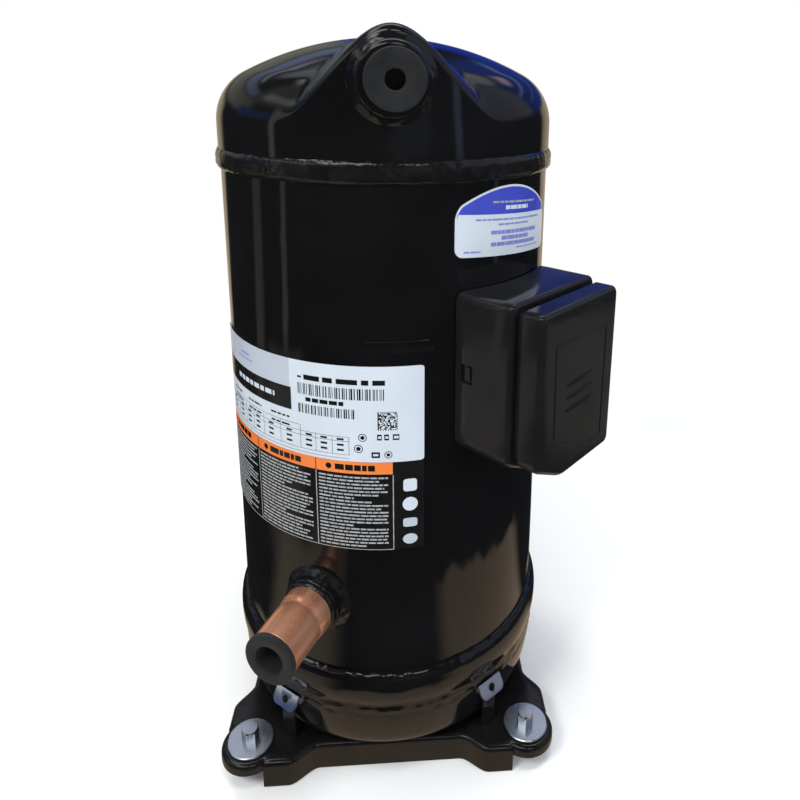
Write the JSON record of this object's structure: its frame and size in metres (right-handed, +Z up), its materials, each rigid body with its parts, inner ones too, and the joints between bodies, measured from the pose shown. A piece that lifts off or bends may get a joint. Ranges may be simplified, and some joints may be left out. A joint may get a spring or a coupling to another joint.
{
  "type": "scroll compressor",
  "caption": "Upright hermetic scroll compressor: welded black pot on a square base, terminal box, side suction stub, top discharge stub, scroll set and motor inside.",
  "frame": {"origin": "on the crankshaft's axis, in the plane of the base sheet's underside, where the feet bear", "axes": "+Z up along the crankshaft; -Y is the front, where the discharge stub is; the base's edges run along X and Y"},
  "size_m": [0.2579, 0.2709, 0.4911],
  "materials": {
    "black_paint": "glossy black enamel, orange-peeled over the weld seams",
    "rubber": "matt moulded rubber",
    "zinc": "bright zinc plate",
    "copper": "drawn copper, satin",
    "label_paper": "printed film, satin",
    "blue_label": "printed film, satin",
    "black_plastic": "moulded black plastic, semi-gloss",
    "steel": "machined steel",
    "brass": "bright brass",
    "cast_iron": "machined grey iron",
    "aluminium": "machined aluminium alloy",
    "bronze": "bearing bronze",
    "lamination": "stacked electrical steel",
    "enamelled_wire": "varnished copper winding",
    "lead_insulation": "woven sleeve"
  },
  "bodies": {
    "pot": {"top_cap": "black_paint", "discharge_fitting": "black_paint", "muffler_plate": "black_paint", "shell": "black_paint", "bottom_cap": "black_paint", "base_plate": "black_paint", "foot_washer_1": "zinc", "foot_washer_2": "zinc", "foot_washer_3": "zinc", "foot_washer_4": "zinc", "foot_bolt_1": "zinc", "foot_bolt_2": "zinc", "foot_bolt_3": "zinc", "foot_bolt_4": "zinc", "base_clip_1": "zinc", "base_clip_2": "zinc", "base_clip_3": "zinc", "base_clip_4": "zinc", "suction_fitting": "black_paint", "suction_tube": "copper", "rating_label": "label_paper", "caution_label": "blue_label", "terminal_box": "black_plastic", "ground_screw": "zinc", "terminal_header": "steel", "terminal_pin_1": "brass", "terminal_pin_2": "brass", "terminal_pin_3": "brass", "bearing_housing": "cast_iron", "main_bearing": "bronze", "scroll_bolt_1": "zinc", "scroll_bolt_2": "zinc", "scroll_bolt_3": "zinc", "scroll_bolt_4": "zinc", "stator_core": "lamination", "stator_winding": "enamelled_wire", "motor_leads": "lead_insulation", "lower_bearing_bracket": "cast_iron", "lower_bearing": "bronze", "relief_valve": "steel", "check_valve_guide": "steel"},
    "crank": {"crankshaft": "steel", "drive_bushing": "bronze", "upper_counterweight": "cast_iron", "lower_counterweight": "cast_iron", "rotor": "lamination", "oil_pickup": "steel"},
    "orbiter": {"orbiting_scroll": "aluminium", "orbiting_bearing": "bronze"},
    "oldham": {"oldham_ring": "aluminium"},
    "upper_scroll": {"fixed_scroll": "cast_iron"},
    "seal": {"floating_seal": "aluminium"},
    "check_valve": {"check_valve_disc": "steel"},
    "cover": {"terminal_cover": "black_plastic"},
    "discharge_cap": {"discharge_plug": "rubber"},
    "suction_cap": {"suction_plug": "rubber"}
  },
  "joints": [
    {"name": "crank_spin", "type": "hinge", "parent": "pot", "child": "crank", "pos_m": [0, 0, 0.184], "axis": [0, 0, 1], "continuous": true},
    {"name": "orbit_turn", "type": "hinge", "parent": "crank", "child": "orbiter", "pos_m": [0.0051, 0, 0.299], "axis": [0, 0, 1], "continuous": true},
    {"name": "oldham_slide", "type": "slide", "parent": "pot", "child": "oldham", "axis": [1, 0, 0], "range_m": [-0.0051, 0.0051]},
    {"name": "scroll_float", "type": "slide", "parent": "pot", "child": "upper_scroll", "axis": [0, 0, 1], "range_m": [0, 0.001]},
    {"name": "seal_lift", "type": "slide", "parent": "pot", "child": "seal", "axis": [0, 0, 1], "range_m": [0, 0.0012]},
    {"name": "check_valve_lift", "type": "slide", "parent": "pot", "child": "check_valve", "axis": [0, 0, 1], "range_m": [0, 0.0032]},
    {"name": "cover_removal", "type": "slide", "parent": "pot", "child": "cover", "axis": [0.7071, -0.7071, 0], "range_m": [0, 0.06]},
    {"name": "discharge_plug_pull", "type": "slide", "parent": "pot", "child": "discharge_cap", "axis": [0.0471, -0.9989, 0], "range_m": [0, 0.03]},
    {"name": "suction_plug_pull", "type": "slide", "parent": "pot", "child": "suction_cap", "axis": [-0.4147, -0.91, 0], "range_m": [0, 0.03]}
  ],
  "couplings": [
    {"joint": "orbit_turn", "follows": "crank_spin", "ratio": -1}
  ]
}
